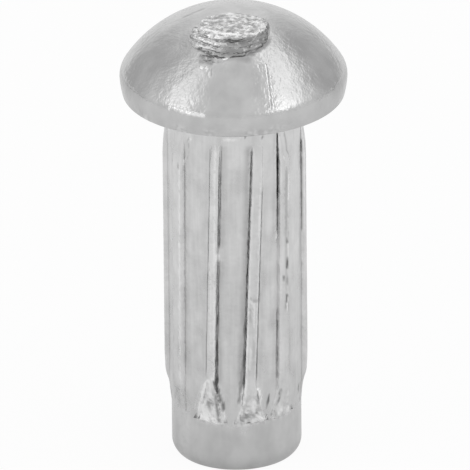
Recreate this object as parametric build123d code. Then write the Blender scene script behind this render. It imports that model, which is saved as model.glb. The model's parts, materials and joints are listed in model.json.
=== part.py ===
from build123d import *
import os
from math import radians, sqrt, tan

# Round head solid rivet with a ribbed shank, cold formed from wire in one piece.
# Lengths are in millimetres and angles in degrees. The origin is the centre of the
# shank's end face, with +Z up along the shank and through the head. The front is -Y.

# Head
head_diameter = 7.0          # across the dome's edge, the widest ring of the rivet
dome_height = 2.0            # from that edge to the top of the dome
rim_height = 0.7             # from the seat up to that edge
rim_swell = 0.03             # how far the rim's side stands outside a straight taper
seat_diameter = 6.7          # outside of the flat ring that bears on the work
seat_edge_radius = 0.08      # rounding where the rim turns under to the seat

# Shank
shank_length = 12.0          # from the seat to the end face
pilot_diameter = 4.0         # smooth end that enters the hole first
pilot_length = 1.7           # of that end, up to where the ribs run out
end_diameter = 3.6           # flat of the end face, inside its rounded edge
end_round_height = 0.5       # how far that edge climbs the pilot
core_diameter = 4.15         # over the smooth stretches between the ribs, and at the neck
shoulder_length = 0.9        # slow cone by which they draw in to the pilot
neck_length = 1.0            # plain shank between the seat and the ribs
neck_fillet_radius = 0.16    # between the neck and the seat, out past the ribs' crests

# Ribs rolled up on the shank
rib_count = 11
rib_diameter = 4.4           # over the crests
rib_width = 0.37             # across a crest, along the straight of a rib
rib_draft = 20.0             # lean of a rib's walls
rib_slant = 1.3              # lean of a rib from upright, its top towards +X at the front
rib_lead_angle = 13.7        # from the front of the rivet to the first rib
rib_rise = 1.1               # ramp by which a rib climbs out of the neck
fan_length = 1.4             # run-out where a rib spreads and falls to the pilot
fan_width = 0.8              # across a rib where it meets the pilot
rib_root = 0.06              # how deep a rib starts inside the shank

# Stub on the dome, where the blank was broken off
stub_diameter = 2.1          # of its torn top, level with the top of the dome
stub_foot_diameter = 2.46
stub_offset = 1.07           # from the rivet's axis towards the front

pilot_radius = pilot_diameter / 2
core_radius = core_diameter / 2
rib_radius = rib_diameter / 2
rib_top_z = shank_length - neck_length
fan_top_z = pilot_length + fan_length
dome_edge_z = shank_length + rim_height
top_z = dome_edge_z + dome_height


def dome_drop(distance):
    """How far the dome has fallen at a distance from the axis."""
    radius = ((head_diameter / 2) ** 2 + dome_height ** 2) / (2 * dome_height)
    return radius - sqrt(radius ** 2 - distance ** 2)


def blank():
    """The round form: shank with a rounded end, seat, rim and dome."""
    neck_top = Vector(core_radius, shank_length)
    seat_edge = Vector(seat_diameter / 2, shank_length)
    dome_edge = Vector(head_diameter / 2, dome_edge_z)
    outwards = (dome_edge - seat_edge).rotate(Axis.Z, -90).normalized()
    mid_rim = (seat_edge + dome_edge) / 2 + outwards * rim_swell
    mid_dome = Vector(head_diameter / 4, top_z - dome_drop(head_diameter / 4))
    with BuildPart() as form:
        with BuildSketch(Plane.XZ) as half_section:
            with BuildLine():
                Line((0, 0), (end_diameter / 2, 0))
                TangentArc((pilot_radius, end_round_height), (end_diameter / 2, 0), tangent=(0, -1))
                Polyline(
                    (pilot_radius, end_round_height),
                    (pilot_radius, pilot_length),
                    (core_radius, pilot_length + shoulder_length),
                    neck_top,
                    seat_edge,
                )
                ThreePointArc(seat_edge, mid_rim, dome_edge)
                ThreePointArc(dome_edge, mid_dome, (0, top_z))
                Line((0, top_z), (0, 0))
            make_face()
            fillet(half_section.vertices().sort_by_distance(neck_top)[0], neck_fillet_radius)
            fillet(half_section.vertices().sort_by_distance(seat_edge)[0], seat_edge_radius)
        revolve(axis=Axis.Z)
    return form.part


def rib_limits():
    """A round envelope over the crests, with the ramp at each end carried on into the shank."""
    inner_radius = core_radius - 2 * rib_root
    low_z = fan_top_z - fan_length * (rib_radius - inner_radius) / (rib_radius - pilot_radius)
    high_z = rib_top_z - rib_rise + rib_rise * (rib_radius - inner_radius) / (rib_radius - core_radius)
    with BuildPart() as limits:
        with BuildSketch(Plane.XZ):
            with BuildLine():
                Polyline(
                    (0, low_z),
                    (inner_radius, low_z),
                    (rib_radius, fan_top_z),
                    (rib_radius, rib_top_z - rib_rise),
                    (inner_radius, high_z),
                    (0, high_z),
                    close=True,
                )
            make_face()
        revolve(axis=Axis.Z)
    return limits.part


def rib():
    """One rib, facing the front: a drafted bar that fans out at its foot."""
    face_radius = rib_radius + rib_root
    root_radius = sqrt(core_radius ** 2 - (fan_width / 2) ** 2) - rib_root
    lean = rib_root * tan(radians(rib_draft))
    half_crest = rib_width / 2 - lean
    half_fan = fan_width / 2 - lean
    with BuildPart() as bar:
        with BuildSketch(Plane.XZ.offset(face_radius)):
            with BuildLine():
                Polyline((0, dome_edge_z), (half_crest, dome_edge_z), (half_crest, fan_top_z))
                TangentArc((half_crest, fan_top_z), (half_fan, pilot_length), tangent=(0, -1))
                Polyline((half_fan, pilot_length), (half_fan, 0), (0, 0))
                mirror(about=Plane.YZ)
            make_face()
        extrude(amount=root_radius - face_radius, taper=-rib_draft)
    mid_height = Axis((0, 0, (rib_top_z + pilot_length) / 2), (0, 1, 0))
    return bar.part.rotate(mid_height, rib_slant) & rib_limits()


def stub():
    """The torn stub, rooted as deep in the dome as the dome falls at the stub's front."""
    front = stub_offset + stub_foot_diameter / 2
    height = dome_drop(front)
    with BuildPart() as cone:
        with Locations((0, -stub_offset, top_z)):
            Cone(
                stub_foot_diameter / 2,
                stub_diameter / 2,
                height,
                align=(Align.CENTER, Align.CENTER, Align.MAX),
            )
    return cone.part


def rivet():
    """The whole rivet as one solid."""
    one_rib = rib()
    with BuildPart() as piece:
        add(blank())
        with PolarLocations(0, rib_count, start_angle=rib_lead_angle):
            add(one_rib)
        add(stub())
    return piece.part


os.makedirs("parts", exist_ok=True)
solid = rivet()
solid.label = "rivet"
export_step(solid, "parts/rivet.step")
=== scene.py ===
import json
import math
import bpy
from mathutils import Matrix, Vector, noise


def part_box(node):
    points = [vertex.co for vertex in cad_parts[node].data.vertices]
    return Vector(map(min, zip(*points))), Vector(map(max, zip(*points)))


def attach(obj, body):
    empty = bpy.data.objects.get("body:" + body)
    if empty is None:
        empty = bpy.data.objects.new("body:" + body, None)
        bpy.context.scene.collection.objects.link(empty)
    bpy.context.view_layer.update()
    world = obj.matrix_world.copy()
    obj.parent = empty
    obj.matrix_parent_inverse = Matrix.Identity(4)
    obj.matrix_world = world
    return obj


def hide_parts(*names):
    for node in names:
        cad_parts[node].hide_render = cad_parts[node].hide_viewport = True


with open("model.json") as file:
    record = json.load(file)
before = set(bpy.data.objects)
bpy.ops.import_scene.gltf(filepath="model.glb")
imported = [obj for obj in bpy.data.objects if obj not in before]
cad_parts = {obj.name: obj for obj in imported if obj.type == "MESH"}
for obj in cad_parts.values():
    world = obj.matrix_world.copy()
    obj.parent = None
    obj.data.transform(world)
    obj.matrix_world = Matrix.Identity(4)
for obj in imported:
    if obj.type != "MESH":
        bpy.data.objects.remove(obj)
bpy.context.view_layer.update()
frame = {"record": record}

print("frame loaded")

millimetre = 0.001          # the rivet is modelled at 1 unit = 1 mm and shrunk when it is whole
tiny = 0.001                # mm, well under any real step of the shape
node = "rivet"
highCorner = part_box(node)[1]
mounts = {mount["name"]: mount for mount in frame["record"]["mounts"]}
rivetHeight = highCorner[2] / millimetre
headRadius = highCorner[0] / millimetre
seatHeight = mounts["seat"]["pos_m"][2] / millimetre
pilotRadius = mounts["pilot"]["dims"]["r_mm"]


# small helpers

def deselectAll():
    if bpy.context.object and bpy.context.object.mode != "OBJECT":
        objectMode()
    bpy.ops.object.select_all(action="DESELECT")


def makeActive(piece):
    deselectAll()
    piece.select_set(True)
    bpy.context.view_layer.objects.active = piece


def objectMode():
    bpy.ops.object.mode_set(mode="OBJECT")


def editMode():
    bpy.ops.object.mode_set(mode="EDIT")


def editAll():                # edit mode with everything selected
    editMode()
    bpy.ops.mesh.select_all(action="SELECT")


def clearPicks(mesh):
    for parts in (mesh.polygons, mesh.edges, mesh.vertices):
        parts.foreach_set("select", [False] * len(parts))


def pickVertices(piece, test):    # leaves the piece in edit mode with only these vertices selected
    objectMode()
    mesh = piece.data
    clearPicks(mesh)
    mesh.vertices.foreach_set("select", [test(vertex.co) for vertex in mesh.vertices])
    bpy.context.tool_settings.mesh_select_mode = (True, False, False)
    editMode()


def pickEdges(piece, test):       # the same with edges, by their two ends
    objectMode()
    mesh = piece.data
    clearPicks(mesh)
    for edge in mesh.edges:
        start, end = (mesh.vertices[i].co for i in edge.vertices)
        edge.select = test(start, end)
    bpy.context.tool_settings.mesh_select_mode = (False, True, False)
    editMode()


def uprightEdge(a, b):        # an edge that runs along the shank
    return abs(a.z - b.z) > 1


def levelEdge(a, b):          # an edge across it
    return abs(a.z - b.z) < tiny


def onRing(co, height):
    return abs(co.z - height) < 2 * tiny


def ringHeights(piece, below=math.inf):
    return sorted({round(vertex.co.z, 3) for vertex in piece.data.vertices if vertex.co.z < below})


def addBlock(name, place, size):
    deselectAll()
    bpy.ops.mesh.primitive_cube_add(size=1, location=place, scale=size)
    block = bpy.context.object
    block.name = name
    bpy.ops.object.transform_apply(location=True, rotation=False, scale=True)
    return block


def addDisc(name, corners, radius):      # left in edit mode, all selected, to be drawn upwards
    deselectAll()
    bpy.ops.mesh.primitive_circle_add(
        vertices=corners, radius=radius, fill_type="NGON", location=(0, 0, 0))
    disc = bpy.context.object
    disc.name = name
    editAll()
    return disc


def extrudeUp(rise):
    bpy.ops.mesh.extrude_region_move(TRANSFORM_OT_translate={"value": (0, 0, rise)})


def resize(across, deep, tall, centre):
    bpy.ops.transform.resize(value=(across, deep, tall), center_override=centre)


def slide(across, deep, tall):
    bpy.ops.transform.translate(value=(across, deep, tall))


def faceOutwards():           # and leaves edit mode
    bpy.ops.mesh.select_all(action="SELECT")
    bpy.ops.mesh.normals_make_consistent(inside=False)
    objectMode()


def weigh(piece, name, weight):   # a vertex group with a weight for every place
    group = piece.vertex_groups.new(name=name)
    for vertex in piece.data.vertices:
        group.add([vertex.index], min(max(weight(vertex.co), 0.0), 1.0), "REPLACE")


def applyModifier(piece, modifier):
    makeActive(piece)
    bpy.ops.object.modifier_apply(modifier=modifier.name)


def roughen(piece, size, strength, direction="NORMAL", group="", depth=2):
    texture = bpy.data.textures.new(piece.name + "Grain", "CLOUDS")
    texture.noise_scale = size
    texture.noise_depth = depth
    displace = piece.modifiers.new("grain", "DISPLACE")
    displace.texture = texture
    displace.texture_coords = "GLOBAL"
    displace.direction = direction
    displace.mid_level = 0.5
    displace.strength = strength
    displace.vertex_group = group
    applyModifier(piece, displace)


def combine(piece, tool, operation):
    boolean = piece.modifiers.new("combine", "BOOLEAN")
    boolean.operation = operation
    boolean.solver = "MANIFOLD"
    boolean.object = tool
    applyModifier(piece, boolean)
    bpy.data.objects.remove(tool)


def joinPieces(pieces, name):
    makeActive(pieces[0])
    for piece in pieces[1:]:
        piece.select_set(True)
    bpy.ops.object.join()
    pieces[0].name = name
    return pieces[0]


def copyPiece(piece, name):
    twin = piece.copy()
    twin.data = piece.data.copy()
    twin.name = name
    bpy.context.collection.objects.link(twin)
    return twin


def blend(low, high, value):      # smooth step from 0 at low to 1 at high
    t = min(max((value - low) / (high - low), 0.0), 1.0)
    return t * t * (3 - 2 * t)


def alongPoints(points, value):   # straight lines between (value, result) pairs
    for (low, start), (high, end) in zip(points, points[1:]):
        if value <= high:
            share = max((value - low) / (high - low), 0.0)
            return start + (end - start) * share
    return points[-1][1]


# camera

view = {
    "elevation": 25.0,       # degrees above the floor
    "roll": -0.53,
    "distance": 0.6,         # metres, a long lens from well back
    "frameWidth": 14.46,     # mm across the frame at the rivet
    "aimHeight": 7.12,       # mm up the rivet's axis
    "sensor": 36.0,
    "farthest": 20.0,        # metres, past the edges of the floor
}


def addCamera():
    tilt = math.radians(view["elevation"])
    away = Vector((0, -math.cos(tilt), math.sin(tilt))) * view["distance"]
    place = Vector((0, 0, view["aimHeight"] * millimetre)) + away
    deselectAll()
    bpy.ops.object.camera_add(location=place, rotation=(math.pi / 2 - tilt, 0, 0))
    camera = bpy.context.object
    camera.name = "productCamera"
    camera.rotation_euler.rotate_axis("Z", math.radians(view["roll"]))
    camera.data.sensor_width = view["sensor"]
    camera.data.lens = view["sensor"] * view["distance"] / (view["frameWidth"] * millimetre)
    camera.data.clip_end = view["farthest"]
    bpy.context.scene.camera = camera


addCamera()
print("camera placed")


# turned body: end, pilot, shank, seat, rim and dome

body = {
    "segments": 264,
    "endRadius": 1.86,
    "endRound": 0.32,         # height of the rounded end edge
    "endRings": 9,
    "endCrowding": 1.4,       # above 1, its rings draw together near the end face
    "pilotTop": 1.7,
    "pilotRings": 7,
    "coreRadius": 2.075,
    "coreBottom": 2.6,        # where the slow cone above the pilot ends
    "coneRings": 6,
    "shankRings": 100,
    "neckFillet": 0.16,
    "neckRings": 4,
    "seatRadius": 3.42,
    "seatRings": 5,
    "seatEdge": 0.05,
    "edgeRings": 4,
    "rimHeight": 0.7,
    "rimSwell": 0.02,
    "rimRings": 8,
    "domeRings": 52,
    "rimSoftening": 3,        # passes that round the edge between rim and dome
    "smoothAngle": 40.0,      # degrees, beyond which an edge shows
}
domeHeight = rivetHeight - seatHeight - body["rimHeight"]
domeRadius = (headRadius ** 2 + domeHeight ** 2) / (2 * domeHeight)


def domeLevel(distance):      # height of the dome at this distance from the axis
    return rivetHeight - domeRadius + math.sqrt(domeRadius ** 2 - distance ** 2)


def bodyProfile():            # (radius, height) from the end face up to the last ring below the top
    b = body
    points = []
    drop = pilotRadius - b["endRadius"]
    edgeRadius = (drop * drop + b["endRound"] ** 2) / (2 * drop)
    for i in range(b["endRings"] + 1):
        height = b["endRound"] * (i / b["endRings"]) ** b["endCrowding"]
        sink = b["endRound"] - height
        points.append((pilotRadius - edgeRadius + math.sqrt(edgeRadius ** 2 - sink ** 2), height))
    for i in range(1, b["pilotRings"] + 1):
        height = b["endRound"] + (b["pilotTop"] - b["endRound"]) * i / b["pilotRings"]
        points.append((pilotRadius, height))
    for i in range(1, b["coneRings"] + 1):
        share = blend(0, 1, i / b["coneRings"])
        height = b["pilotTop"] + (b["coreBottom"] - b["pilotTop"]) * i / b["coneRings"]
        points.append((pilotRadius + (b["coreRadius"] - pilotRadius) * share, height))
    filletBottom = seatHeight - b["neckFillet"]
    for i in range(1, b["shankRings"] + 1):
        height = b["coreBottom"] + (filletBottom - b["coreBottom"]) * i / b["shankRings"]
        points.append((b["coreRadius"], height))
    neckRadius = b["coreRadius"] + b["neckFillet"]
    for i in range(1, b["neckRings"] + 1):
        turn = math.pi / 2 * i / b["neckRings"]
        radius = neckRadius - b["neckFillet"] * math.cos(turn)
        points.append((radius, filletBottom + b["neckFillet"] * math.sin(turn)))
    seatWidth = b["seatRadius"] - b["seatEdge"] - neckRadius
    for i in range(1, b["seatRings"]):
        points.append((neckRadius + seatWidth * i / b["seatRings"], seatHeight))
    for i in range(b["edgeRings"] + 1):
        turn = math.pi / 2 * i / b["edgeRings"]
        radius = b["seatRadius"] - b["seatEdge"] * (1 - math.sin(turn))
        points.append((radius, seatHeight + b["seatEdge"] * (1 - math.cos(turn))))
    for i in range(1, b["rimRings"] + 1):
        share = i / b["rimRings"]
        swell = 4 * b["rimSwell"] * share * (1 - share)
        radius = b["seatRadius"] + (headRadius - b["seatRadius"]) * share + swell
        height = seatHeight + b["seatEdge"] + (b["rimHeight"] - b["seatEdge"]) * share
        points.append((radius, height))
    rimTop = len(points) - 1
    edgeTurn = math.asin(headRadius / domeRadius)
    for i in range(1, b["domeRings"]):
        turn = edgeTurn * (1 - i / b["domeRings"])
        points.append((domeRadius * math.sin(turn), rivetHeight - domeRadius * (1 - math.cos(turn))))
    for i in (rimTop - 1, rimTop + 1, rimTop) * b["rimSoftening"]:
        before, here, after = points[i - 1:i + 2]
        points[i] = tuple((a + 2 * c + d) / 4 for a, c, d in zip(before, here, after))
    return points


def addBody():
    profile = bodyProfile()
    radius, height = profile[0]
    piece = addDisc("rivetBody", body["segments"], radius)
    for nextRadius, nextHeight in profile[1:]:
        extrudeUp(nextHeight - height)
        share = nextRadius / radius
        resize(share, share, 1, (0, 0, nextHeight))
        radius, height = nextRadius, nextHeight
    extrudeUp(rivetHeight - height)
    bpy.ops.mesh.merge(type="CENTER")
    faceOutwards()
    return piece


rivetBody = addBody()
print("body turned:", len(rivetBody.data.polygons), "faces")


# ribs rolled up along the shank

rib = {
    "width": 0.29,            # across the crest
    "draft": 20.0,            # degrees
    "foot": 1.97,             # radius at which the bar starts, inside the shank
    "crest": 2.2,
    "edgeRound": 0.03,
    "bottom": 1.66,
    "top": 11.3,
    "rings": 110,
    "crestCuts": 5,
    "wallCuts": 2,
    "fanTop": 3.15,           # below this the rib spreads to its foot width and breaks up
    "fanCurve": 1.4,
    "buried": 1.88,           # radius at which the feet of the walls end up
    "buriedFan": 1.2,         # how much harder the walls of the run-outs are drawn there
    "flare": 1.985,           # radius of the run-outs where they reach the pilot,
    "flareBroken": 0.075,     # and how much more a broken one stands out
    "flareFade": (1.8, 2.7),  # heights between which the flare ends
    "flareSkin": (0.9, 1.0),  # how proud a place is, between which it starts to flare
    "brokenFade": (0.6, 0.1),    # from this far below the top of the run-out to this far above it
    "brokenSkin": (1.97, 2.01),  # radii between which the broken surface starts
    "brokenGrain": 0.2,
    "broken": 0.12,           # depth of the broken surface of the run-outs
    "tipHeight": 0.22,        # the lower ends break up too
    "tipGrain": 0.16,
    "tipBroken": 0.168,
    "wallSkin": (2.17, 2.195),   # radii between which the wander of the walls lessens
    "crestCalm": 0.75,        # share of it that the crest does without
    "longGrain": 0.3,
    "longRagged": 0.032,      # how far the walls and corners wander, slowly
    "shortGrain": 0.09,
    "shortRagged": 0.016,     # and quickly
}
crestLine = (                 # height and radius of the crest: it falls to the pilot and to the neck
    (1.6, 2.03), (1.86, 2.06), (2.13, 2.1), (2.4, 2.145), (2.675, 2.18), (3.2, 2.2),
    (10.0, 2.2), (10.4, 2.18), (10.72, 2.135), (11.0, 2.1), (11.3, 2.05),
)
ribPlan = (                   # turn at height 0, turn gained to the top, share of the width, brokenness,
    (-57.0, 2.0, 1.6, 0.15, 0.42, 0.0),      # and the foot's width and its shift to the right
    (-23.8, 6.8, 0.95, 1.0, 0.82, -0.06),
    (8.0, 10.6, 1.15, 0.7, 0.8, 0.14),
    (42.2, 3.2, 1.3, 0.45, 0.84, 0.0),
    (84.0, 2.0, 1.3, 0.3, 0.5, 0.0),
    (114.5, 4.0, 1.0, 0.8, 0.8, 0.05),
    (144.0, 5.0, 1.2, 1.0, 0.75, -0.1),
    (175.0, 6.0, 0.9, 0.9, 0.88, 0.1),
    (207.0, 3.5, 1.15, 1.0, 0.8, 0.0),
    (237.5, 4.0, 1.0, 0.6, 0.7, 0.1),
    (268.5, 1.5, 1.3, 0.2, 0.4, 0.0),
)
ribLength = rib["top"] - rib["bottom"]


def ribTurn(i, height):       # turn of rib i at this height, in degrees
    turn, gain = ribPlan[i][:2]
    return turn + gain * height / ribLength


def fanShare(height):         # 0 above the run-out, 1 where it reaches the pilot
    share = (rib["fanTop"] - height) / (rib["fanTop"] - rib["bottom"])
    return min(max(share, 0.0), 1.0) ** rib["fanCurve"]


def turnPiece(piece, turn, gain):    # leans a bar modelled at the front and takes it to its place
    heights = [vertex.co.z for vertex in piece.data.vertices]
    lean = piece.modifiers.new("lean", "SIMPLE_DEFORM")
    lean.deform_method = "TWIST"
    lean.deform_axis = "Z"
    lean.angle = math.radians(gain) * (max(heights) - min(heights)) / ribLength
    applyModifier(piece, lean)
    editAll()
    bpy.ops.transform.rotate(value=-math.radians(turn), orient_axis="Z", center_override=(0, 0, 0))
    objectMode()


def castTo(piece, group, radius):    # draws a group of vertices to a cylinder about the axis
    cast = piece.modifiers.new("cast", "CAST")
    cast.cast_type = "CYLINDER"
    cast.use_z = False
    cast.factor = 1.0
    cast.use_radius_as_size = False
    cast.size = radius
    cast.vertex_group = group
    applyModifier(piece, cast)


def addRibBlank():
    r = rib
    middle = (r["bottom"] + r["top"]) / 2
    halfWay = -(r["foot"] + r["crest"]) / 2
    rise = r["crest"] - r["foot"]

    def onCrest(co):
        return abs(co.y + r["crest"]) < tiny

    def proud(co):            # 0 at the foot, 1 at the crest
        return (-co.y - r["foot"]) / (alongPoints(crestLine, co.z) - r["foot"])

    piece = addBlock("ribBlank", (0, halfWay, middle), (r["width"], rise, ribLength))
    spread = rise * math.tan(math.radians(r["draft"]))
    pickVertices(piece, lambda co: co.y > halfWay)
    resize(1 + 2 * spread / r["width"], 1, 1, (0, -r["foot"], middle))
    pickEdges(piece, lambda a, b: a.y < halfWay and b.y < halfWay and uprightEdge(a, b))
    bpy.ops.mesh.bevel(offset=r["edgeRound"], segments=2, affect="EDGES")
    pickEdges(piece, lambda a, b: onCrest(a) and onCrest(b) and levelEdge(a, b))
    bpy.ops.mesh.subdivide(number_cuts=r["crestCuts"])
    pickEdges(piece, uprightEdge)
    bpy.ops.mesh.subdivide(number_cuts=r["rings"])
    pickEdges(piece, lambda a, b: (a.y > halfWay) != (b.y > halfWay) and levelEdge(a, b))
    bpy.ops.mesh.subdivide(number_cuts=r["wallCuts"])
    objectMode()
    for height in ringHeights(piece):
        lift = alongPoints(crestLine, height) - r["crest"]
        if abs(lift) > tiny / 2:
            pickVertices(piece, lambda co: onRing(co, height) and co.y < halfWay)
            slide(0, -lift, 0)
    objectMode()
    weigh(piece, "feet", lambda co: (1 - proud(co)) * (1 + r["buriedFan"] * fanShare(co.z)))
    weigh(piece, "flare", lambda co: (1 - blend(*r["flareFade"], co.z)) * blend(*r["flareSkin"], proud(co)))
    return piece


def addRibs():
    r = rib
    blank = addRibBlank()
    brokenTop = [r["fanTop"] - r["brokenFade"][0], r["fanTop"] + r["brokenFade"][1]]
    bars = []
    for i, (turn, gain, share, broken, footWidth, shift) in enumerate(ribPlan):
        bar = copyPiece(blank, "rib" + str(i))
        makeActive(bar)
        editAll()
        resize(share, 1, 1, (0, 0, 0))
        objectMode()
        for height in ringHeights(bar, r["fanTop"]):
            spread = fanShare(height)
            here = share + (footWidth / r["width"] - share) * spread
            pickVertices(bar, lambda co: onRing(co, height))
            resize(here / share, 1, 1, (0, 0, height))
            slide(shift * spread, 0, 0)
        objectMode()
        turnPiece(bar, turn, gain)
        castTo(bar, "feet", r["buried"])
        castTo(bar, "flare", r["flare"] + r["flareBroken"] * broken)
        weigh(bar, "fan", lambda co: (1 - blend(*brokenTop, co.z)) * blend(*r["brokenSkin"], co.xy.length))
        weigh(bar, "tips", lambda co: 1 - blend(r["bottom"], r["bottom"] + r["tipHeight"], co.z))
        weigh(bar, "walls", lambda co: 1 - r["crestCalm"] * blend(*r["wallSkin"], co.xy.length))
        roughen(bar, r["longGrain"], r["longRagged"], group="walls")
        roughen(bar, r["shortGrain"], r["shortRagged"], group="walls")
        roughen(bar, r["brokenGrain"], r["broken"] * broken, group="fan", depth=1)
        roughen(bar, r["tipGrain"], r["tipBroken"], direction="Z", group="tips", depth=1)
        bars.append(bar)
    bpy.data.objects.remove(blank)
    return joinPieces(bars, "ribs")


ribs = addRibs()
print("ribs drawn:", len(ribs.data.polygons), "faces")
combine(rivetBody, ribs, "UNION")
print("ribs united:", len(rivetBody.data.polygons), "faces")


# creases at the feet of the ribs, where the metal folded

crease = {
    "rings": 70,
    "outer": 2.3,             # radius of the cutter's back, outside the ribs
    "point": 0.2,             # width of its inner edge, as a share of its back
    "lead": 0.3,              # how much shorter that edge is
    "taper": 0.75,            # it narrows by this share, twice:
    "taperFrom": (0.4, 0.15),    # below these shares of its length
    "grain": 0.3,
    "wander": 0.03,
    "clearance": 0.04,        # from the edge of the rib to the middle of the crease
}
creasePlan = (                # rib, side, bottom, top, width, depth, painted shade in the crease below and above, painted shade beside it
    (0, 1, 2.9, 11.0, 0.025, 0.015, 0.05, 0.1, 0.06),
    (1, -1, 3.1, 11.05, 0.035, 0.03, 0.35, 0.1, 0.04),
    (1, 1, 7.6, 11.05, 0.05, 0.035, 0.5, 0.35, 0.2),
    (1, 1, 3.0, 7.15, 0.05, 0.045, 0.6, 0.5, 0.26),
    (2, -1, 2.9, 11.0, 0.08, 0.045, 0.58, 0.32, 0.34),
    (2, 1, 3.0, 9.6, 0.035, 0.04, 0.5, 0.2, 0.06),
    (3, -1, 7.9, 11.35, 0.065, 0.09, 0.2, 0.8, 0.12),
    (3, -1, 3.0, 5.4, 0.035, 0.03, 0.3, 0.3, 0.08),
    (4, -1, 7.4, 11.4, 0.05, 0.1, 0.5, 0.9, 0.0),
    (4, -1, 3.2, 6.4, 0.03, 0.04, 0.2, 0.2, 0.0),
    (5, 1, 3.0, 10.9, 0.05, 0.07, 0.7, 0.5, 0.1), (5, -1, 5.0, 11.0, 0.035, 0.04, 0.2, 0.4, 0.0),
    (6, 1, 6.4, 11.1, 0.05, 0.08, 0.6, 0.9, 0.0), (6, -1, 3.0, 10.2, 0.03, 0.04, 0.3, 0.3, 0.0),
    (7, -1, 3.0, 11.1, 0.05, 0.06, 0.8, 0.5, 0.2), (7, 1, 3.4, 8.8, 0.035, 0.04, 0.4, 0.3, 0.0),
    (8, 1, 3.0, 7.7, 0.05, 0.08, 0.7, 0.9, 0.0), (8, -1, 4.6, 11.2, 0.045, 0.05, 0.5, 0.6, 0.15),
    (9, -1, 3.0, 11.0, 0.05, 0.08, 0.8, 0.6, 0.15), (9, 1, 6.0, 10.8, 0.03, 0.04, 0.3, 0.3, 0.0),
    (10, -1, 3.3, 10.6, 0.04, 0.05, 0.5, 0.6, 0.0),
)


def creaseTurn(i, side):      # turn from the middle of a rib to its foot, in degrees
    half = rib["width"] * ribPlan[i][2] / 2 + crease["clearance"]
    return side * math.degrees(half / body["coreRadius"])


def addCreases():
    c = crease
    cutters = []
    for i, side, bottom, top, width, depth, *shades in creasePlan:
        inner = body["coreRadius"] - depth
        middle = (bottom + top) / 2
        halfWay = -(inner + c["outer"]) / 2
        cutter = addBlock("creaseCutter", (0, halfWay, middle), (width, c["outer"] - inner, top - bottom))
        pickVertices(cutter, lambda co: co.y > halfWay)
        resize(c["point"], 1, 1, (0, -inner, bottom))
        resize(1, 1, 1 - c["lead"] / (top - bottom), (0, -inner, middle))
        pickEdges(cutter, uprightEdge)
        bpy.ops.mesh.subdivide(number_cuts=c["rings"])
        for share in c["taperFrom"]:
            pickVertices(cutter, lambda co: co.z < bottom + (top - bottom) * share)
            resize(c["taper"], 1, 1, (0, -inner, bottom))
        objectMode()
        roughen(cutter, c["grain"], c["wander"], direction="X")
        turnPiece(cutter, ribPlan[i][0] + creaseTurn(i, side), ribPlan[i][1])
        cutters.append(cutter)
    return joinPieces(cutters, "creaseCutters")


creases = addCreases()
combine(rivetBody, creases, "DIFFERENCE")
print("creases cut:", len(rivetBody.data.polygons), "faces")


# torn stub on the dome, left where the blank was broken off

stub = {
    "segments": 130,
    "swell": 1.06,            # its wall stands out this much from the half widths of its plan
    "rings": 20,              # from the rim of a tier to its middle
    "steps": 4,               # up the wall of a tier
    "lipSteps": 8,            # over its rounded lip
    "lipHeight": 0.13,
    "lipInset": 0.085,        # share of the half widths
    "sink": 0.35,             # how far a tier reaches into the dome
    "wallFoot": 0.1,          # mm above its foot where the wall starts to be torn
    "topDepth": 0.01,         # mm below its top where the top starts to be pitted
    "wallSkin": (0.8, 0.97),  # shares of the half widths between which the torn wall starts
    "topSkin": (0.93, 1.0),   # and between which the pits of the top lessen
    "lipCalm": 0.3,
    "grains": (               # size, depth, direction, where, and detail of the torn surface
        (0.45, 0.16, "X", "walls", 1),
        (0.3, 0.12, "Y", "walls", 1),
        (0.09, 0.1, "NORMAL", "walls", 2),
        (0.17, 0.07, "Z", "tops", 2),
    ),
}
stubTiers = (                 # middle across and in front, half widths, height of the top
    (0.02, 0.97, 1.04, 0.88, 14.655),
    (-0.09, 1.05, 1.12, 0.9, 14.51),
    (-0.12, 1.09, 1.15, 0.93, 14.36),
    (-0.1, 1.14, 1.13, 0.95, 14.21),
    (-0.45, 1.62, 0.66, 0.6, 14.1),
)


def addTier(name, across, front, wide, deep, top):
    s = stub
    bottom = domeLevel(front + deep) - s["sink"]
    lipBottom = top - s["lipHeight"]
    tier = addDisc(name, s["segments"], 1)
    resize(wide * s["swell"], deep * s["swell"], 1, (0, 0, 0))
    slide(across, -front, bottom)
    wall = []                 # (height, share of the half widths)
    for step in range(1, s["steps"] + 1):
        wall.append((bottom + (lipBottom - bottom) * step / s["steps"], 1.0))
    for step in range(1, s["lipSteps"] + 1):
        lean = math.pi / 2 * step / s["lipSteps"]
        wall.append((top - s["lipHeight"] * (1 - math.sin(lean)), 1 - s["lipInset"] * (1 - math.cos(lean))))
    height, share = bottom, 1.0
    for nextHeight, nextShare in wall:
        extrudeUp(nextHeight - height)
        inward = nextShare / share
        resize(inward, inward, 1, (across, -front, 0))
        height, share = nextHeight, nextShare
    for ring in range(s["rings"], 1, -1):
        extrudeUp(0)
        inward = (ring - 1) / ring
        resize(inward, inward, 1, (across, -front, 0))
    faceOutwards()

    def reach(co):            # 1 on the rim of the tier
        return Vector(((co.x - across) / wide, (co.y + front) / deep)).length

    def onWall(co):
        return blend(*s["wallSkin"], reach(co)) if co.z > bottom + s["wallFoot"] else 0.0

    def onTop(co):
        return 1 - blend(*s["topSkin"], reach(co)) * s["lipCalm"] if co.z > top - s["topDepth"] else 0.0

    weigh(tier, "walls", onWall)
    weigh(tier, "tops", onTop)
    for grain in s["grains"]:
        roughen(tier, *grain)
    return tier


def addStub():
    tiers = [addTier("stubTier" + str(i), *plan) for i, plan in enumerate(stubTiers)]
    for tier in tiers[1:]:
        combine(tiers[0], tier, "UNION")
    return tiers[0]


tornStub = addStub()
combine(rivetBody, tornStub, "UNION")
print("stub united:", len(rivetBody.data.polygons), "faces")


# masks painted on the finished mesh: painted shade in the creases and hollows, painted highlights on
# corners and edges, torn metal

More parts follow.
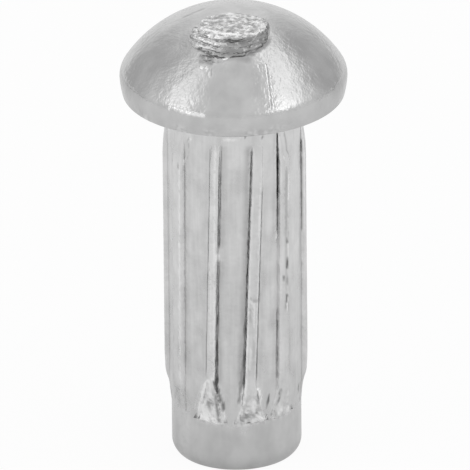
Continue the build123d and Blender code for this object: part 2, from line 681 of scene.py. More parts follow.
creasePaint = {
    "bottomFade": (-0.05, 0.12),     # mm from the lower end of the crease
    "topFade": (-0.05, 0.08),        # and from its upper end
    "reach": 0.4,             # mm to either side
    "patches": 2.4,           # per mm of height
    "patchShift": 7.3,        # keeps the patches of two ribs apart
    "patchy": 0.5,
    "core": (0.35, 0.62),     # shares of the width over which the painted shade of the crease ends
    "shade": (0.02, 0.26),    # mm away from the rib over which the painted shade beside it ends
    "edges": ((-0.5, -0.035, 0.8), (0.5, 0.03, 0.5)),    # painted highlight lines: width share, mm beyond, strength
    "edgeWidth": 0.035,
    "crest": (2.13, 2.18),    # radii between which the crests get a painted highlight
    "crestTop": (10.6, 11.1),
    "crestHighlight": 0.15,
}


def arcBetween(turn, middle, radius):    # mm round the axis from one turn to another
    return ((turn - middle + 180) % 360 - 180) * math.pi / 180 * radius


def paintCreases(co, radius, turn):      # (painted shade, painted highlight) at a point of the shank
    c = creasePaint
    dark, paintedHighlight = 0.0, 0.0
    for i, side, bottom, top, width, depth, below, above, shade in creasePlan:
        along = blend(*c["bottomFade"], co.z - bottom) * (1 - blend(*c["topFade"], co.z - top))
        if along == 0:
            continue
        offset = arcBetween(turn, ribTurn(i, co.z) + creaseTurn(i, side), radius) * side
        if abs(offset) > c["reach"]:
            continue
        paintedShade = below + (above - below) * (co.z - bottom) / (top - bottom)
        patchy = noise.noise(Vector((i * c["patchShift"], side, co.z * c["patches"]))) * c["patchy"]
        paintedShade = min(max(paintedShade * (1 + patchy), 0.0), 1.0)
        core = 1 - blend(width * c["core"][0], width * c["core"][1], abs(offset))
        # painted shade down the crease
        dark = max(dark, along * paintedShade * core)
        # painted shade on the flat beside the rib
        if 0 < offset:
            dark = max(dark, along * shade * (1 - blend(*c["shade"], offset)))
        # painted highlights along both edges of the crease
        for share, beyond, strength in c["edges"]:
            gap = abs(offset - (width * share + beyond))
            paintedHighlight = max(paintedHighlight, along * paintedShade * strength * (1 - blend(0.0, c["edgeWidth"], gap)))
    # painted highlight on the crests of the ribs
    crest = blend(*c["crest"], radius) * (1 - blend(*c["crestTop"], co.z))
    return dark, max(paintedHighlight, crest * c["crestHighlight"])


shankLightAndShade = (                # turn and height of both ends, half width in mm, strength: + painted highlight, - painted shade
    # below the neck, from left to right
    (-51.1, 10.15, -51.1, 10.1, 0.05, -0.5), (-47.2, 10.33, -47.2, 10.2, 0.04, 0.6),
    (-42.8, 11.1, -43.0, 10.45, 0.03, -0.25), (-40.5, 11.11, -40.5, 11.11, 0.06, 0.9),
    (-9.6, 11.31, 4.7, 11.32, 0.04, 0.8), (9.4, 11.37, 9.8, 11.35, 0.05, -0.6),
    (24.4, 11.27, 24.8, 11.29, 0.05, -0.6), (44.0, 10.47, 44.0, 10.47, 0.05, 1.0),
    (46.0, 10.1, 46.3, 9.1, 0.04, -0.25), (48.0, 11.2, 49.0, 10.6, 0.04, -0.3),
    (49.6, 10.65, 53.5, 9.92, 0.04, -0.35),
    # along the ribs
    (-50.4, 10.15, -52.4, 2.83, 0.05, 0.7), (-20.0, 6.9, -21.5, 4.0, 0.05, 0.5),
    (-16.1, 10.9, -21.5, 3.3, 0.14, 0.3), (-15.8, 11.0, -18.5, 3.24, 0.05, 0.6),
    (-15.5, 7.39, -15.5, 7.22, 0.08, 0.7), (-3.0, 8.5, -4.0, 5.0, 0.4, -0.04),
    (10.9, 5.99, 18.3, 5.82, 0.04, -0.3), (11.5, 5.86, 17.0, 5.7, 0.04, 0.6),
    (11.6, 4.3, 11.0, 3.6, 0.05, 0.6), (12.2, 5.6, 12.0, 5.2, 0.04, -0.25),
    (13.7, 10.94, 8.3, 3.38, 0.05, 0.7), (14.5, 4.5, 13.9, 3.9, 0.05, -0.2),
    (15.2, 5.7, 14.6, 5.0, 0.05, 0.7), (20.0, 10.9, 11.6, 3.3, 0.16, -0.05),
    (21.1, 9.78, 16.1, 3.19, 0.045, 0.5), (27.5, 4.5, 26.5, 3.2, 0.3, 0.1),
    (38.1, 11.12, 37.8, 7.73, 0.05, 0.5), (42.6, 6.47, 42.6, 6.38, 0.06, -0.6),
    (44.3, 5.54, 44.2, 5.39, 0.055, -0.4), (45.0, 9.4, 45.4, 8.5, 0.06, -0.24),
    (45.2, 6.2, 44.0, 5.3, 0.06, -0.14), (45.4, 8.5, 45.2, 6.2, 0.075, -0.2),
    (45.7, 5.78, 45.6, 5.59, 0.06, -0.75), (46.0, 7.63, 46.0, 7.53, 0.06, -0.7),
    (46.1, 6.36, 46.1, 6.16, 0.055, -0.4), (46.2, 6.9, 46.2, 6.74, 0.065, -0.8),
    (46.3, 7.05, 46.2, 6.95, 0.055, -0.5), (46.4, 9.95, 45.8, 8.0, 0.08, -0.3),
    (47.0, 5.6, 46.5, 5.23, 0.045, 0.9), (47.6, 7.5, 47.9, 7.09, 0.05, 0.6),
    (48.2, 7.86, 47.9, 7.7, 0.045, -0.25), (49.7, 9.8, 49.5, 8.96, 0.06, 1.0),
    (51.0, 9.85, 50.4, 8.7, 0.06, 0.9), (63.0, 10.5, 63.0, 3.5, 0.4, 0.12),
    # on the run-outs
    (-54.0, 2.61, -70.4, 1.98, 0.04, -0.3), (-54.0, 2.64, -55.5, 2.35, 0.05, 0.6),
    (-35.9, 1.76, -20.0, 1.7, 0.1, 1.0), (-33.5, 1.86, -20.0, 1.8, 0.12, 1.0),
    (-31.5, 2.0, -21.0, 1.98, 0.16, 0.85), (-30.7, 2.14, -23.3, 2.54, 0.1, 0.9),
    (-29.9, 2.89, -40.7, 1.91, 0.05, 0.25), (-27.0, 2.35, -22.5, 2.6, 0.08, 0.6),
    (-26.8, 2.99, -36.1, 1.89, 0.07, 0.9), (-24.7, 3.08, -19.4, 3.15, 0.07, 0.9),
    (-24.4, 2.33, -22.4, 2.1, 0.09, -0.4), (-22.2, 2.95, -21.5, 2.6, 0.07, 0.8),
    (-18.2, 3.12, -14.0, 2.46, 0.06, -0.7), (-17.6, 2.6, -16.2, 1.75, 0.05, -0.45),
    (-11.6, 2.42, -11.2, 2.12, 0.07, -0.7), (-11.2, 1.97, -11.1, 1.8, 0.07, 0.9),
    (3.5, 1.9, 6.0, 2.3, 0.05, 0.8), (3.9, 1.76, 10.0, 1.91, 0.09, -0.45),
    (4.8, 1.87, 5.4, 1.82, 0.09, -0.4), (5.2, 2.26, 1.3, 1.86, 0.05, 0.8),
    (6.0, 3.84, 2.2, 2.42, 0.06, -0.5), (6.5, 2.63, 5.2, 2.26, 0.055, 0.9),
    (7.9, 3.17, 6.5, 2.63, 0.055, 0.9), (8.3, 2.09, 9.2, 2.09, 0.07, 1.0),
    (9.2, 1.97, 9.8, 1.9, 0.09, -0.5), (12.0, 2.0, 15.0, 1.86, 0.06, -0.3),
    (12.5, 2.35, 15.5, 2.05, 0.07, 0.8), (14.8, 2.42, 14.8, 2.21, 0.06, 0.9),
    (16.5, 2.85, 20.2, 2.67, 0.05, 1.0), (18.1, 1.97, 18.3, 1.93, 0.07, -0.45),
    (18.2, 2.62, 18.3, 2.3, 0.06, -0.3), (19.1, 1.83, 19.1, 1.78, 0.07, 0.8),
    (19.5, 1.95, 23.5, 1.85, 0.06, 0.8), (20.2, 2.67, 21.8, 2.48, 0.055, 1.0),
    (21.4, 1.75, 25.7, 1.69, 0.06, 0.9), (21.8, 2.48, 19.8, 2.15, 0.045, 0.8),
    (27.1, 2.56, 27.0, 2.47, 0.035, 0.8), (28.6, 2.5, 27.8, 2.2, 0.06, -0.8),
    (38.3, 2.58, 38.8, 2.14, 0.05, -0.6), (40.0, 2.2, 40.0, 1.98, 0.05, 0.5),
    (41.4, 1.88, 41.3, 1.77, 0.07, 1.0), (42.5, 1.97, 44.5, 1.87, 0.05, 0.8),
    (47.4, 2.48, 48.0, 2.31, 0.045, 0.7), (51.4, 1.74, 51.4, 1.68, 0.06, 0.8),
    (53.0, 1.9, 52.0, 1.8, 0.05, 0.7), (68.2, 2.36, 70.5, 2.12, 0.07, -0.6),
    # on the pilot and the end: painted shade along the end edge and in front, painted highlights up the
    # pilot
    (-80.0, 0.0, 80.0, 0.0, 0.5, -0.13), (-55.0, 1.5, -55.0, 0.3, 0.45, 0.22),
    (-37.0, 1.3, -37.0, 0.5, 0.5, 0.12), (-8.0, 1.2, 0.0, 1.0, 0.3, -0.04),
    (45.0, 1.3, 45.0, 0.7, 0.4, 0.1),
)
stubHighlights = (                 # the same with both ends across and in front of the axis, all painted highlights on the lips of the stub
    (-0.97, 1.2, -0.14, 1.64, 0.15, 1.0), (-0.14, 1.64, 0.72, 1.59, 0.15, 1.0),
    (0.72, 1.59, 0.98, 1.12, 0.12, 0.9), (-1.15, 1.45, -0.35, 1.84, 0.08, 0.9),
    (-1.22, 1.7, -0.4, 1.98, 0.07, 0.8),
)

markCore = 0.35               # share of a mark's half width that has its full strength


def paintMarks(marks, across, up, spacing):      # (pale, dark) of the strokes at a flat place
    pale, dark = 0.0, 0.0
    for startAcross, startUp, endAcross, endUp, width, strength in marks:
        if not min(startUp, endUp) - width < up < max(startUp, endUp) + width:
            continue
        reachAcross, reachUp = (endAcross - startAcross) * spacing, endUp - startUp
        awayAcross, awayUp = (across - startAcross) * spacing, up - startUp
        length = max(reachAcross ** 2 + reachUp ** 2, 0.0001)      # a dot has none
        along = min(max((awayAcross * reachAcross + awayUp * reachUp) / length, 0.0), 1.0)
        gap = math.hypot(awayAcross - reachAcross * along, awayUp - reachUp * along)
        inside = 1 - blend(width * markCore, width, gap)
        if strength > 0:
            pale = max(pale, inside * strength)
        else:
            dark = max(dark, -inside * strength)
    return pale, dark


fanPaint = {
    "bottom": 1.6,            # height below which nothing is torn
    "heights": (1.55, 1.62),  # between which the torn metal starts
    "margin": 0.05,           # beyond the edge of the rib
    "edge": 0.03,
    "drop": 1.2,              # how much lower the torn metal ends on an unbroken rib
    "fade": (-0.8, 0.1),      # mm from the top
    "patches": 4.0,           # per mm
    "wander": 0.3,
    "torn": 0.75,             # of a fully broken run-out,
    "most": 0.7,              # up to this
    "paintedHighlight": 0.3,              # share of the torn metal that also gets a painted highlight
}


def paintFans(co, radius, turn):         # torn metal of the ribs' run-outs
    f = fanPaint
    if co.z < f["bottom"] or co.z > rib["fanTop"] + f["fade"][1]:
        return 0.0
    rough = 0.0
    spread = fanShare(co.z)
    for i, (start, gain, share, broken, footWidth, shift) in enumerate(ribPlan):
        middle = ribTurn(i, co.z) + math.degrees(shift * spread / radius)
        away = abs(arcBetween(turn, middle, radius))
        crest = rib["width"] * share
        half = (crest + (footWidth - crest) * spread) / 2 + f["margin"]
        inside = (1 - blend(half - f["edge"], half + f["edge"], away)) * blend(*f["heights"], co.z)
        top = rib["fanTop"] - (1 - broken) * f["drop"] + noise.noise(co * f["patches"]) * f["wander"]
        fade = 1 - blend(*f["fade"], co.z - top)
        rough = max(rough, inside * fade * min(broken * f["torn"], f["most"]))
    return rough


stubPaint = {
    "middle": (0.05, 1.08),   # left of the axis and in front of it
    "half": (1.25, 1.06),     # half widths of the painted patch
    "reach": 1.3,             # beyond this share of them nothing is painted
    "edge": (0.97, 1.04),
    "topFade": (14.6, 14.66),       # heights between which the wall becomes the top
    "rightSide": (-0.45, -0.15),    # across, where the wall turns from painted highlight to painted shade
    "steepness": (0.45, 0.85),      # upward lean between which a wall becomes a top
    "proud": (0.015, 0.04),   # mm above the dome at which the wall starts
    "streaks": (3, 3, 9),     # per mm
    "wallShade": (0.06, 0.38),      # painted shade on the walls, everywhere, and more of it to the right
    "grooveHeight": 0.02,     # above the top of a tier
    "grooveWaves": 4.0,       # per mm
    "grooveWander": 0.03,
    "grooveEdge": (0.015, 0.045),
    "grooveShade": (0.2, 0.05),     # painted shade in the grooves between tiers, everywhere, and more of it to the right
    "grooveProud": (0.01, 0.03),
    "footProud": 0.01,        # mm above the dome
    "foot": (0.02, 0.09),     # mm from there over which the painted shadow line at the foot ends
    "footFront": (0.9, 1.5),
    "footShadow": 0.6,
    "tornProud": (0.01, 0.04),
    "tornInside": (0.8, 0.95),
    "wallCalm": 0.85,         # share of the torn look that the wall does without
}


def paintStub(co, radius, normal):       # (painted shade, torn metal, painted highlight) on and around the stub
    s = stubPaint
    across = (co.x + s["middle"][0]) / s["half"][0]
    front = (co.y + s["middle"][1]) / s["half"][1]
    reach = Vector((across, front)).length
    if reach > s["reach"]:
        return 0.0, 0.0, 0.0
    proud = co.z - domeLevel(min(radius, headRadius))
    inside = 1 - blend(*s["edge"], reach)
    below = 1 - blend(*s["topFade"], co.z)
    right = blend(*s["rightSide"], co.x)
    steep = max(1 - blend(*s["steepness"], normal.z), right)
    wall = inside * blend(*s["proud"], proud) * below * steep
    streak = 0.5 + 0.5 * noise.noise(Vector([c * size for c, size in zip(co, s["streaks"])]))
    # painted shade on the walls, streaked and heavier to the right
    dark = wall * (s["wallShade"][0] + s["wallShade"][1] * right) * (0.5 + streak)
    waves = s["grooveWaves"]
    wander = noise.noise(Vector((co.x * waves, co.y * waves, 0.5))) * s["grooveWander"]
    height = co.z - s["grooveHeight"] - wander
    # painted shade in the grooves under each tier's lip
    groove = max(1 - blend(*s["grooveEdge"], abs(height - tier[4])) for tier in stubTiers[1:])
    paintedShade = s["grooveShade"][0] + s["grooveShade"][1] * right
    dark = max(dark, inside * below * groove * paintedShade * blend(*s["grooveProud"], proud))
    # painted shadow along the foot of the stub, in front
    foot = inside * (1 - blend(*s["foot"], abs(proud - s["footProud"]))) * blend(*s["footFront"], -co.y)
    dark = max(dark, foot * s["footShadow"])
    torn = inside * max(blend(*s["tornProud"], proud), 1 - blend(*s["tornInside"], reach))
    # the walls to the left get a painted highlight, away from the grooves
    return dark, torn * (1 - s["wallCalm"] * wall), wall * (1 - right) * (1 - groove)


maskPaint = {
    "shankReach": 2.3,        # radius
    "shankTop": 0.2,          # mm below the seat
    "pilotTop": 1.5,          # there are only marks below this
    "shankPatches": 9.0,      # per mm
    "shankShake": 0.05,       # mm by which the marks waver,
    "shakeTurn": 20.0,        # and degrees for each mm of that
    "markCalm": 0.8,          # share of the torn metal that a painted highlight hides
    "stubBottom": 13.7,
    "stubPatches": 8.0,
    "stubShake": 0.08,
    "stubCalm": 0.7,
    "rimPatches": 1.6,
    "rimPatchEdge": (-0.1, 0.4),
    "rimFade": (0.1, 0.4),    # mm above the seat
    "rimInner": 0.93,         # share of the head's radius
    "rimTop": 0.8,            # mm above the seat
    "rimTorn": 0.3,
    "rimShade": (0.025, 0.18),       # painted shade on the rim, a little everywhere, and more at the sides
    "rimSides": (0.7, 0.97),
    "domeShade": 0.04,        # painted shade on the right of the dome
    "domeRight": (0.5, 1.6),
}


def paintPoint(co, normal):   # (painted shade, painted highlight, torn metal) at a place
    m = maskPaint
    radius = co.xy.length
    turn = math.degrees(math.atan2(co.x, -co.y))
    dark, paintedHighlight, torn = 0.0, 0.0, 0.0
    if co.z < seatHeight - m["shankTop"] and radius < m["shankReach"]:
        if co.z > m["pilotTop"]:
            dark, paintedHighlight = paintCreases(co, radius, turn)
            torn = paintFans(co, radius, turn)
            # the torn run-outs get a painted highlight too
            paintedHighlight = max(paintedHighlight, torn * fanPaint["paintedHighlight"])
        shake = noise.noise(co * m["shankPatches"]) * m["shankShake"]
        across = turn + shake * m["shakeTurn"]
        # painted highlights and painted shade of the strokes
        pale, strokeShade = paintMarks(shankLightAndShade, across, co.z + shake, math.radians(radius))
        paintedHighlight, dark = max(paintedHighlight, pale), max(dark, strokeShade)
        torn *= 1 - m["markCalm"] * pale
    elif co.z > m["stubBottom"]:
        dark, torn, paintedHighlight = paintStub(co, radius, normal)
        if torn > tiny:
            shake = noise.noise(co * m["stubPatches"]) * m["stubShake"]
            # painted highlights on the lips of the stub
            paintedHighlight = max(paintedHighlight, paintMarks(stubHighlights, co.x, -co.y + shake, 1.0)[0] * torn)
            torn *= 1 - m["stubCalm"] * paintedHighlight
    elif seatHeight < co.z < seatHeight + m["rimTop"] and radius > headRadius * m["rimInner"]:
        patchy = blend(*m["rimPatchEdge"], noise.noise(co * m["rimPatches"]))
        torn = m["rimTorn"] * patchy * (1 - blend(*m["rimFade"], co.z - seatHeight))
        # painted shade on the rim, darker towards its sides
        dark = m["rimShade"][0] + m["rimShade"][1] * blend(*m["rimSides"], abs(co.x) / radius)
    if co.z > seatHeight + body["rimHeight"]:
        # painted shade on the right of the dome
        dark = max(dark, m["domeShade"] * blend(*m["domeRight"], co.x))
    return dark, paintedHighlight, torn


def paintMasks(mesh):
    painted = [paintPoint(vertex.co, vertex.normal) for vertex in mesh.vertices]
    for name, values in zip(("paintedShade", "paintedHighlight", "torn"), zip(*painted)):
        mesh.attributes.new(name, "FLOAT", "POINT").data.foreach_set("value", values)


# nodes

def addSockets(group, kind, way, **values):
    for name, value in values.items():
        socket = group.interface.new_socket(name=name, in_out=way, socket_type=kind)
        if value is not None:
            socket.default_value = value


def addNode(tree, kind, x, y, inputs=None, **settings):      # inputs by name or number
    made = tree.nodes.new(kind)
    made.location = (x, y)
    for name, value in settings.items():
        setattr(made, name, value)
    for name, value in (inputs or {}).items():
        if isinstance(value, bpy.types.NodeSocket):
            tree.links.new(value, made.inputs[name])
        elif value is not None:
            made.inputs[name].default_value = value
    return made


def mathNode(tree, x, y, operation, *values):
    return addNode(tree, "ShaderNodeMath", x, y, dict(enumerate(values)), operation=operation).outputs[0]


def vectorNode(tree, x, y, operation, *values, scale=None):
    inputs = {**dict(enumerate(values)), "Scale": scale}
    made = addNode(tree, "ShaderNodeVectorMath", x, y, inputs, operation=operation)
    return made.outputs["Value" if operation in ("DOT_PRODUCT", "DISTANCE", "LENGTH") else "Vector"]


def rampNode(tree, x, y, value, low, high, start=0.0, end=1.0, kind="SMOOTHSTEP"):
    names = ("Value", "From Min", "From Max", "To Min", "To Max")
    inputs = dict(zip(names, (value, low, high, start, end)))
    return addNode(tree, "ShaderNodeMapRange", x, y, inputs, interpolation_type=kind).outputs[0]


def grainGroup():             # noise stretched along one axis, as a height and as a mask
    group = bpy.data.node_groups.new("metalGrain", "ShaderNodeTree")
    addSockets(group, "NodeSocketVector", "INPUT", Vector=None)
    addSockets(group, "NodeSocketFloat", "INPUT", Size=0.1, Stretch=1.0, Detail=3.0, Low=0.35, High=0.65)
    addSockets(group, "NodeSocketFloat", "OUTPUT", Value=None, Mask=None)
    given = addNode(group, "NodeGroupInput", -900, 0).outputs
    inverse = mathNode(group, -700, -200, "DIVIDE", 1 / millimetre, given["Size"])
    flat = mathNode(group, -520, -300, "DIVIDE", inverse, given["Stretch"])
    scales = addNode(group, "ShaderNodeCombineXYZ", -340, -200, {0: inverse, 1: inverse, 2: flat})
    place = vectorNode(group, -160, 0, "MULTIPLY", given["Vector"], scales.outputs[0])
    inputs = {"Scale": 1.0, "Vector": place, "Detail": given["Detail"]}
    value = addNode(group, "ShaderNodeTexNoise", 20, 0, inputs).outputs[0]
    mask = rampNode(group, 240, -120, value, given["Low"], given["High"], kind="LINEAR")
    addNode(group, "NodeGroupOutput", 500, 0, {"Value": value, "Mask": mask})
    return group


def streakGroup():            # a short stroke from one point to another, on a flat layout in mm
    group = bpy.data.node_groups.new("streak", "ShaderNodeTree")
    addSockets(group, "NodeSocketVector", "INPUT", Place=None, Start=None, Reach=None, Share=None)
    addSockets(group, "NodeSocketFloat", "INPUT", Width=0.05, Strength=1.0)
    addSockets(group, "NodeSocketFloat", "OUTPUT", Mask=None)
    given = addNode(group, "NodeGroupInput", -900, 0).outputs
    away = vectorNode(group, -700, 0, "SUBTRACT", given["Place"], given["Start"])
    lead = vectorNode(group, -500, -200, "DOT_PRODUCT", away, given["Share"])
    along = mathNode(group, -300, -200, "ADD", lead, 0.0)
    along.node.use_clamp = True
    nearest = vectorNode(group, -100, -200, "SCALE", given["Reach"], scale=along)
    gap = vectorNode(group, 100, 0, "DISTANCE", away, nearest)
    core = mathNode(group, 100, -200, "MULTIPLY", given["Width"], satin["markCore"])
    mask = rampNode(group, 400, 0, gap, given["Width"], core, 0.0, given["Strength"], "LINEAR")
    addNode(group, "NodeGroupOutput", 900, 0, {"Mask": mask})
    return group


# satin metal of the rivet

satin = {
    "tone": (0.565, 0.565, 0.565, 1),
    "pale": (0.68, 0.68, 0.68, 1),
    "shankTone": (0.6, 0.6, 0.6, 1),
    "shankPale": (0.77, 0.77, 0.77, 1),
    # near black laid into the tone as painted shade
    "paintedShade": (0.03, 0.03, 0.03, 1),
    # white laid into the tone as painted highlight
    "paintedHighlightTone": (1.0, 1.0, 1.0, 1),
    # torn metal is flecked between its own darker grey, with painted shade in its pits, and painted glints
    "tornTone": (0.45, 0.45, 0.45, 1),
    "tornGlint": (0.98, 0.98, 0.98, 1),
    "cloudShare": 0.7,        # of the pale tone, in the clouds
    "drawShare": 0.38,        # and in the drawing lines of the shank
    "roughness": 0.17,
    "shankRoughness": 0.27,
    "tornRoughness": 0.25,
    "cloudRoughness": 0.06,
    "grains": {               # size in mm, stretch along the axis, detail, low and high of the mask
        "clouds": (0.6, 1.5, 3.0, 0.35, 0.65),
        "fine": (0.17, 1.0, 2.0, 0.35, 0.65),
        "specks": (0.065, 1.0, 1.0, 0.35, 0.65),
        "draw": (0.11, 14.0, 3.0, 0.3, 0.7),
        "pits": (0.12, 1.0, 3.0, 0.35, 0.6),
        "flecks": (0.17, 1.0, 3.0, 0.4, 0.62),
    },
    "heights": {"draw": 0.006, "clouds": 0.02, "fine": 0.015, "specks": 0.007, "pits": 0.09},    # mm
    "pilotFade": (0.4, 2.4),  # heights in mm over which the finish of the shank starts
    "neckFade": (11.8, 12.05),       # and ends
    "headFade": (12.6, 12.7),
    "markHeight": 0.02,
    "markWander": 0.035,
    "markGrain": 9.0,         # per mm
    "markCore": 0.3,          # share of a stroke's half width that has its full strength
    "markPatches": (0.3, 0.5, 0.45),     # low and high of the fine grain, and the least of a mark
}
domeLightAndShade = (                 # both ends across and in front of the axis, half width, strength: + painted highlight, - painted shade
    (-1.49, -0.17, -0.93, -0.38, 0.1, -0.25), (0.75, 2.28, 0.76, 2.36, 0.04, 0.8),
    (0.98, 2.22, 1.06, 2.73, 0.035, 0.8), (1.06, 2.73, 1.14, 3.25, 0.03, 0.8),
    (1.13, 2.5, 1.22, 3.2, 0.03, 0.7), (1.03, 2.3, 1.17, 3.2, 0.025, -0.2),
    (-1.99, 2.82, -1.5, 3.13, 0.03, 0.7), (-1.5, 3.13, -0.9, 3.37, 0.03, 0.9),
    (-1.0, 1.94, -0.3, 2.12, 0.1, -0.4), (-0.3, 2.1, 0.6, 1.98, 0.1, -0.4),
    (-1.0, 2.1, -0.66, 2.24, 0.09, -0.35), (-0.95, 2.0, 0.4, 2.14, 0.2, -0.25),
    (-1.0, 2.27, -0.94, 2.33, 0.045, 0.6), (-0.84, 2.33, -0.8, 2.4, 0.05, 0.7),
    (-0.74, 2.48, -0.73, 2.6, 0.04, 0.6), (-0.66, 2.42, -0.66, 2.58, 0.035, -0.2),
)


def satinMetal():
    material = bpy.data.materials.new("satinMetal")
    material.use_nodes = True
    tree = material.node_tree
    place = addNode(tree, "ShaderNodeTexCoord", -1700, 0).outputs["Object"]
    split = addNode(tree, "ShaderNodeSeparateXYZ", -1500, 900, {0: place}).outputs
    grain = grainGroup()
    grains = {}
    for i, (name, values) in enumerate(satin["grains"].items()):
        inputs = {"Vector": place, **dict(zip(("Size", "Stretch", "Detail", "Low", "High"), values))}
        made = addNode(tree, "ShaderNodeGroup", -1300, 100 - 200 * i, inputs, node_tree=grain)
        grains[name] = made.outputs
    clouds = grains["clouds"]["Mask"]

    def mask(name, y):
        return addNode(tree, "ShaderNodeAttribute", -1300, y, attribute_name=name).outputs["Fac"]

    def fade(heights, y, start, end):
        low, high = (height * millimetre for height in heights)
        return rampNode(tree, -1300, y, split["Z"], low, high, start, end)

    def tint(share, first, second, x):
        inputs = {0: share, 6: first, 7: second}
        return addNode(tree, "ShaderNodeMix", x, 400, inputs, data_type="RGBA").outputs[2]

    def bump(height, distance, strength, before, x):
        inputs = {"Height": height, "Distance": distance * millimetre}
        inputs.update({"Strength": strength, "Normal": before})
        return addNode(tree, "ShaderNodeBump", x, -300, inputs).outputs[0]

    # where the finish of the shank and that of the head are
    above = fade(satin["pilotFade"], 900, 0.0, 1.0)
    below = fade(satin["neckFade"], 1100, 1.0, 0.0)
    shank = mathNode(tree, -1100, 1000, "MULTIPLY", above, below)
    head = fade(satin["headFade"], 1300, 0.0, 1.0)

    # painted highlights and painted shade on the dome, laid out flat as seen from above
    forward = mathNode(tree, -1300, 1500, "MULTIPLY", split["Y"], -1.0)
    flat = addNode(tree, "ShaderNodeCombineXYZ", -1100, 1500, {0: split["X"], 1: forward}).outputs[0]
    scaled = vectorNode(tree, -900, 1500, "SCALE", flat, scale=1 / millimetre)
    inputs = {"Scale": satin["markGrain"] / millimetre, "Vector": place}
    wander = addNode(tree, "ShaderNodeTexNoise", -1300, 1800, inputs).outputs["Color"]
    shift = satin["markWander"]
    shaken = vectorNode(tree, -700, 1500, "MULTIPLY_ADD", wander, (shift * 2, shift * 2, 0), scaled)
    streak = streakGroup()
    totals = {"pale": 0.0, "dark": 0.0}
    for i, (startAcross, startUp, endAcross, endUp, width, strength) in enumerate(domeLightAndShade):
        reach = Vector((endAcross - startAcross, endUp - startUp, 0))
        stroke = addNode(tree, "ShaderNodeGroup", -500, 2200 + 220 * i, {
            "Place": shaken,
            "Start": (startAcross + shift, startUp + shift, 0),
            "Reach": reach,
            "Share": reach / reach.length_squared,
            "Width": width,
            "Strength": abs(strength),
        }, node_tree=streak).outputs[0]
        kind = "pale" if strength > 0 else "dark"
        totals[kind] = mathNode(tree, -300, 2200 + 220 * i, "MAXIMUM", stroke, totals[kind])
    # painted highlights and painted shade of the dome's strokes, on the head only
    palest = mathNode(tree, 500, 1500, "MULTIPLY", totals["pale"], head)
    darkest = mathNode(tree, 500, 1300, "MULTIPLY", totals["dark"], head)

    low, high, least = satin["markPatches"]
    patchy = rampNode(tree, 500, 1700, grains["fine"]["Value"], low, high, least)
    # painted highlight from the mesh and from the dome's strokes, made patchy
    paintedHighlight = mathNode(tree, 700, 1300, "MAXIMUM", mask("paintedHighlight", 500), palest)
    paintedHighlight = mathNode(tree, 900, 1300, "MULTIPLY", paintedHighlight, patchy)
    # painted shade from the mesh and from the dome's strokes
    paintedShade = mathNode(tree, 700, 1100, "MAXIMUM", mask("paintedShade", 700), darkest)
    torn = mask("torn", 300)

    # tone
    drawn = mathNode(tree, -900, 700, "MULTIPLY", grains["draw"]["Mask"], shank)
    cloudy = mathNode(tree, -900, 500, "MULTIPLY", clouds, satin["cloudShare"])
    uneven = mathNode(tree, -700, 600, "MULTIPLY_ADD", drawn, satin["drawShare"], cloudy)
    dull = tint(shank, satin["tone"], satin["shankTone"], -900)
    pale = tint(shank, satin["pale"], satin["shankPale"], -700)
    tone = tint(uneven, dull, pale, -500)
    # torn metal flecked with painted glints and painted shade in its pits
    tornGlintsAndPits = tint(grains["flecks"]["Mask"], satin["tornTone"], satin["tornGlint"], -500)
    tone = tint(torn, tone, tornGlintsAndPits, -300)
    # painted highlight lightens the tone on edges, crests and spots
    tone = tint(paintedHighlight, tone, satin["paintedHighlightTone"], -100)
    # painted shade darkens the tone in creases, grooves, under the stub and on the sides away from the soft
    # boxes
    tone = tint(paintedShade, tone, satin["paintedShade"], 100)

    # roughness
    smooth = satin["roughness"]
    rough = mathNode(tree, -700, 0, "MULTIPLY_ADD", shank, satin["shankRoughness"] - smooth, smooth)
    rough = mathNode(tree, -500, 0, "MULTIPLY_ADD", torn, satin["tornRoughness"] - smooth, rough)
    rough = mathNode(tree, -300, 0, "MULTIPLY_ADD", clouds, satin["cloudRoughness"], rough)

    # relief
    shaped = None
    places = {"draw": shank, "specks": head, "pits": torn}
    for i, (name, height) in enumerate(satin["heights"].items()):
        shaped = bump(grains[name]["Value"], height, places.get(name), shaped, -700 + 120 * i)
    relief = mathNode(tree, 900, 900, "SUBTRACT", paintedHighlight, paintedShade)
    shaped = bump(relief, satin["markHeight"], None, shaped, -100)

    shader = tree.nodes["Principled BSDF"]
    shader.inputs["Metallic"].default_value = 1.0
    for name, value in (("Base Color", tone), ("Roughness", rough), ("Normal", shaped)):
        tree.links.new(value, shader.inputs[name])
    return material


# studio: pale floor, and a world with two soft boxes beside the camera

studio = {
    "floorSize": 12.0,        # metres
    "floor": (0.8, 0.8, 0.8, 1),
    "floorGlow": 0.94,        # share of plain white in the floor that the camera sees
    "floorShine": 0.5,        # and in the floor that the metal shows
    "shade": 0.8,             # of that white close to the rivet
    "shadeFade": (5.0, 26.0),        # mm from the rivet
    "white": (1, 1, 1, 1),
    "front": 0.8,             # brightness of the air in front,
    "back": (0.91, 0.585),    # and of its middle and its sides behind
    "backShift": 0.05,        # the middle lies a little to the left
    "backFade": (0.15, 0.6),
    "frontFade": (-0.1, 0.45),
    "boxBottom": (0.2, 0.36),        # upward lean over which the soft boxes start
}
rightInner = (0.837, 0.422, -0.348)      # planes through the rivet that bound the soft boxes,
rightOuter = (-0.447, -0.587, 0.675)     # each by its normal into the box
leftInner = (-0.795, 0.585, -0.162)
leftOuter = (0.326, -0.877, 0.352)
downwards = (0, 0, -1)
softBoxes = (                 # brightness, then for each edge its plane and where its blur starts and ends
    (1.42, (rightInner, 0.0, 0.05), (rightOuter, -0.25, 0.42)),
    (1.72, (leftInner, -0.194, 0.533), (leftOuter, -0.12, 0.4)),
    (2.05, (rightInner, 0.0, 0.05), (downwards, -0.74, -0.46), (rightOuter, -0.1, 0.5)),
    (2.1, (leftInner, -0.06, 0.48), (downwards, -0.7, -0.46), (leftOuter, -0.05, 0.5)),
)


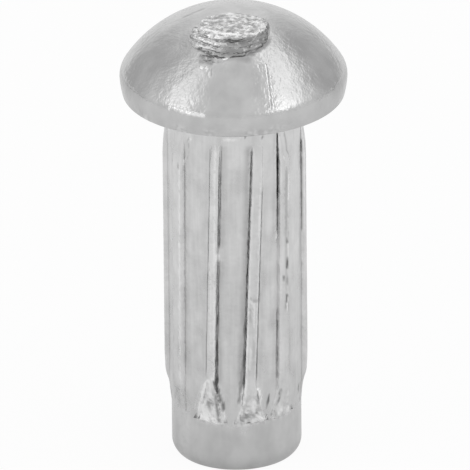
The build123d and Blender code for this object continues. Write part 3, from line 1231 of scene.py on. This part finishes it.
def floorPaper():             # white to the camera, pale to the metal, with the rivet's own faint shadow
    material = bpy.data.materials.new("floorPaper")
    material.use_nodes = True
    tree = material.node_tree
    shader = tree.nodes["Principled BSDF"]
    for name, value in (("Base Color", studio["floor"]), ("Roughness", 1.0), ("Specular IOR Level", 0.0)):
        shader.inputs[name].default_value = value
    place = addNode(tree, "ShaderNodeTexCoord", -900, -300).outputs["Object"]
    away = vectorNode(tree, -700, -300, "LENGTH", place)
    inner, outer = (distance * millimetre for distance in studio["shadeFade"])
    near = rampNode(tree, -500, -300, away, inner, outer, studio["shade"])
    path = addNode(tree, "ShaderNodeLightPath", -300, 300).outputs
    bright = mathNode(tree, -200, -300, "MAXIMUM", near, path["Is Camera Ray"])
    glow = addNode(tree, "ShaderNodeEmission", 0, -300, {"Strength": bright}).outputs[0]
    shine = mathNode(tree, -100, 400, "MULTIPLY", path["Is Glossy Ray"], studio["floorShine"])
    share = mathNode(tree, 100, 300, "MULTIPLY_ADD", path["Is Camera Ray"], studio["floorGlow"], shine)
    mix = addNode(tree, "ShaderNodeMixShader", 300, 0, {0: share, 1: shader.outputs[0], 2: glow})
    tree.links.new(mix.outputs[0], tree.nodes["Material Output"].inputs["Surface"])
    return material


def addFloor():
    deselectAll()
    bpy.ops.mesh.primitive_plane_add(size=studio["floorSize"], location=(0, 0, 0))
    floor = bpy.context.object
    floor.name = "paperFloor"
    floor.data.materials.append(floorPaper())


def addWorld():
    world = bpy.data.worlds.new("studioAir")
    bpy.context.scene.world = world
    world.use_nodes = True
    tree = world.node_tree
    direction = addNode(tree, "ShaderNodeTexCoord", -1600, 0).outputs["Generated"]
    split = addNode(tree, "ShaderNodeSeparateXYZ", -1400, 0, {0: direction}).outputs
    shifted = mathNode(tree, -1300, 300, "ADD", split["X"], studio["backShift"])
    aside = mathNode(tree, -1200, 200, "ABSOLUTE", shifted)
    behind = rampNode(tree, -1000, 200, aside, *studio["backFade"], *studio["back"])
    strength = rampNode(tree, -800, 100, split["Y"], *studio["frontFade"], studio["front"], behind)
    for i, (brightness, *edges) in enumerate(softBoxes):
        y = -300 * i - 200
        inside = rampNode(tree, -1000, y, split["Z"], *studio["boxBottom"])
        for normal, low, high in edges:
            lean = vectorNode(tree, -1200, y, "DOT_PRODUCT", direction, normal)
            edge = rampNode(tree, -1000, y + 100, lean, low, high)
            inside = mathNode(tree, -800, y, "MULTIPLY", inside, edge)
        strength = rampNode(tree, -600 + 200 * i, 0, inside, 0.0, 1.0, strength, brightness)
    air = tree.nodes["Background"]
    tree.links.new(strength, air.inputs["Strength"])
    air.inputs["Color"].default_value = studio["white"]
    backdrop = addNode(tree, "ShaderNodeBackground", 0, -200, {"Color": studio["white"]}).outputs[0]
    seen = addNode(tree, "ShaderNodeLightPath", -200, 300).outputs["Is Camera Ray"]
    mix = addNode(tree, "ShaderNodeMixShader", 200, 0, {0: seen, 1: air.outputs[0], 2: backdrop})
    tree.links.new(mix.outputs[0], tree.nodes["World Output"].inputs["Surface"])


def finishRivet(piece):
    piece.name = "rivetVisual"
    paintMasks(piece.data)
    makeActive(piece)
    piece.scale = (millimetre,) * 3
    bpy.ops.object.transform_apply(location=False, rotation=False, scale=True)
    bpy.ops.object.shade_smooth_by_angle(angle=math.radians(body["smoothAngle"]))
    piece.data.materials.clear()
    piece.data.materials.append(satinMetal())
    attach(piece, "root")
    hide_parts(node)


finishRivet(rivetBody)
print("rivet finished:", len(rivetBody.data.vertices), "vertices")
addFloor()
addWorld()
bpy.context.scene.view_settings.view_transform = "Standard"
print("studio lit")
